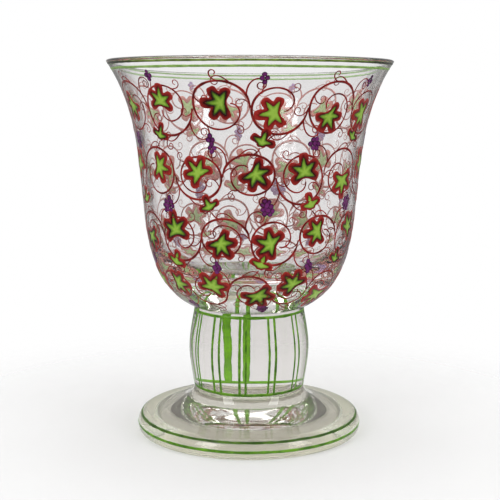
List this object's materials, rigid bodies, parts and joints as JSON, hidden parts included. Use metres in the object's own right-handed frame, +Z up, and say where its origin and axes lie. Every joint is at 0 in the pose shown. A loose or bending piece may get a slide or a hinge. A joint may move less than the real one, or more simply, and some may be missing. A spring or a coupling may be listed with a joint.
{
  "type": "goblet",
  "caption": "Clear glass goblet with a flared bell bowl on a solid barrel stem and a trumpet foot, painted with green enamel lines.",
  "frame": {"origin": "on the ground plane under the centre of the foot", "axes": "+Z up along the goblet's axis, -Y towards the side seen in the picture, +X to its right"},
  "size_m": [0.1146, 0.1146, 0.1506],
  "materials": {
    "clear_glass": "clear, fire polished, very slightly warm grey",
    "green_enamel": "fired enamel, gloss, brushed by hand",
    "rim_enamel": "fired enamel, gloss, dark green",
    "leaf_enamel": "fired enamel of the painted leaves, gloss",
    "red_enamel": "fired enamel of the painted scrolls and leaf borders, gloss",
    "purple_enamel": "fired enamel of the painted berries, gloss"
  },
  "bodies": {
    "root": {"bowl": "clear_glass", "stem": "clear_glass", "foot": "clear_glass", "rim_line": "rim_enamel", "lip_line": "green_enamel", "stem_top_line": "green_enamel", "stem_bottom_line": "green_enamel", "foot_upper_line": "green_enamel", "foot_lower_line": "green_enamel", "stem_stripe_01": "green_enamel", "stem_stripe_02": "green_enamel", "stem_stripe_03": "green_enamel", "stem_stripe_04": "green_enamel", "stem_stripe_05": "green_enamel", "stem_stripe_06": "green_enamel", "stem_stripe_07": "green_enamel", "stem_stripe_08": "green_enamel", "stem_stripe_09": "green_enamel", "stem_stripe_10": "green_enamel", "stem_stripe_11": "green_enamel", "stem_stripe_12": "green_enamel", "stem_stripe_13": "green_enamel", "stem_stripe_14": "green_enamel", "stem_stripe_15": "green_enamel", "stem_stripe_16": "green_enamel", "stem_stripe_17": "green_enamel", "stem_stripe_18": "green_enamel", "stem_stripe_19": "green_enamel", "stem_stripe_20": "green_enamel", "stem_stripe_21": "green_enamel", "stem_stripe_22": "green_enamel", "stem_stripe_23": "green_enamel", "stem_stripe_24": "green_enamel", "stem_stripe_25": "green_enamel", "stem_stripe_26": "green_enamel"}
  },
  "joints": []
}
